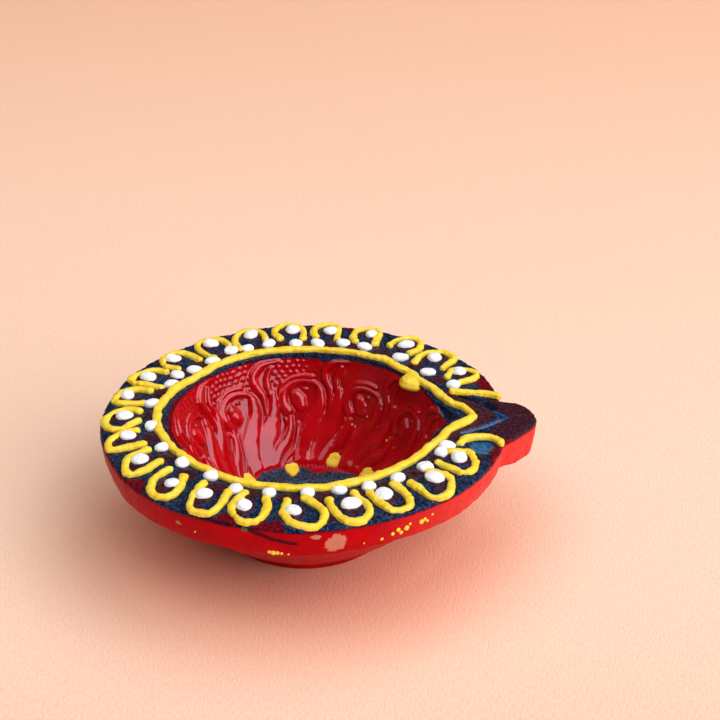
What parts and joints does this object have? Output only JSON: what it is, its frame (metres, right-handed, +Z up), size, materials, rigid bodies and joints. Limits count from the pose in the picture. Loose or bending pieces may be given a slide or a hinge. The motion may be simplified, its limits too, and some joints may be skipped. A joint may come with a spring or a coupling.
{
  "type": "diya oil lamp",
  "caption": "Shallow round clay oil lamp on a small foot, with a broad painted flange, a mouth pinched to a leaf-shaped spout, and piped paint petals and dots.",
  "frame": {"origin": "middle of the foot's flat underside, on the surface the lamp stands on", "axes": "+Z up, +X from the middle of the bowl towards the tip of the spout, +Y to the left of the spout seen from behind the bowl"},
  "size_m": [0.0857, 0.0811, 0.0267],
  "materials": {
    "red_clay": "fired clay under glossy red enamel paint; the flange is brushed over in navy and maroon",
    "yellow_paint": "thick piped acrylic paint, satin",
    "white_paint": "thick piped acrylic paint, satin to matt"
  },
  "bodies": {
    "root": {"clay_body": "red_clay", "mouth_line": "yellow_paint", "spout_stroke_left": "yellow_paint", "spout_stroke_right": "yellow_paint", "petal_loop_01": "yellow_paint", "petal_loop_02": "yellow_paint", "petal_loop_03": "yellow_paint", "petal_loop_04": "yellow_paint", "petal_loop_05": "yellow_paint", "petal_loop_06": "yellow_paint", "petal_loop_07": "yellow_paint", "petal_loop_08": "yellow_paint", "petal_loop_09": "yellow_paint", "petal_loop_10": "yellow_paint", "petal_loop_11": "yellow_paint", "petal_loop_12": "yellow_paint", "petal_loop_13": "yellow_paint", "petal_loop_14": "yellow_paint", "petal_loop_15": "yellow_paint", "petal_loop_16": "yellow_paint", "petal_loop_17": "yellow_paint", "petal_loop_18": "yellow_paint", "petal_loop_19": "yellow_paint", "petal_loop_20": "yellow_paint", "petal_loop_21": "yellow_paint", "petal_loop_22": "yellow_paint", "petal_dot_01": "white_paint", "petal_dot_02": "white_paint", "petal_dot_03": "white_paint", "petal_dot_04": "white_paint", "petal_dot_05": "white_paint", "petal_dot_06": "white_paint", "petal_dot_07": "white_paint", "petal_dot_08": "white_paint", "petal_dot_09": "white_paint", "petal_dot_10": "white_paint", "petal_dot_11": "white_paint", "petal_dot_12": "white_paint", "petal_dot_13": "white_paint", "petal_dot_14": "white_paint", "petal_dot_15": "white_paint", "petal_dot_16": "white_paint", "petal_dot_17": "white_paint", "petal_dot_18": "white_paint", "petal_dot_19": "white_paint", "petal_dot_20": "white_paint", "petal_dot_21": "white_paint", "petal_dot_22": "white_paint", "floor_dab_01": "yellow_paint", "floor_dab_02": "yellow_paint", "floor_dab_03": "yellow_paint", "floor_dab_04": "yellow_paint", "floor_dab_05": "yellow_paint", "floor_dab_06": "yellow_paint", "floor_dab_07": "yellow_paint", "floor_dab_08": "yellow_paint", "floor_dab_09": "yellow_paint", "floor_dab_10": "yellow_paint", "floor_dab_11": "yellow_paint", "floor_dab_12": "yellow_paint"}
  },
  "joints": []
}
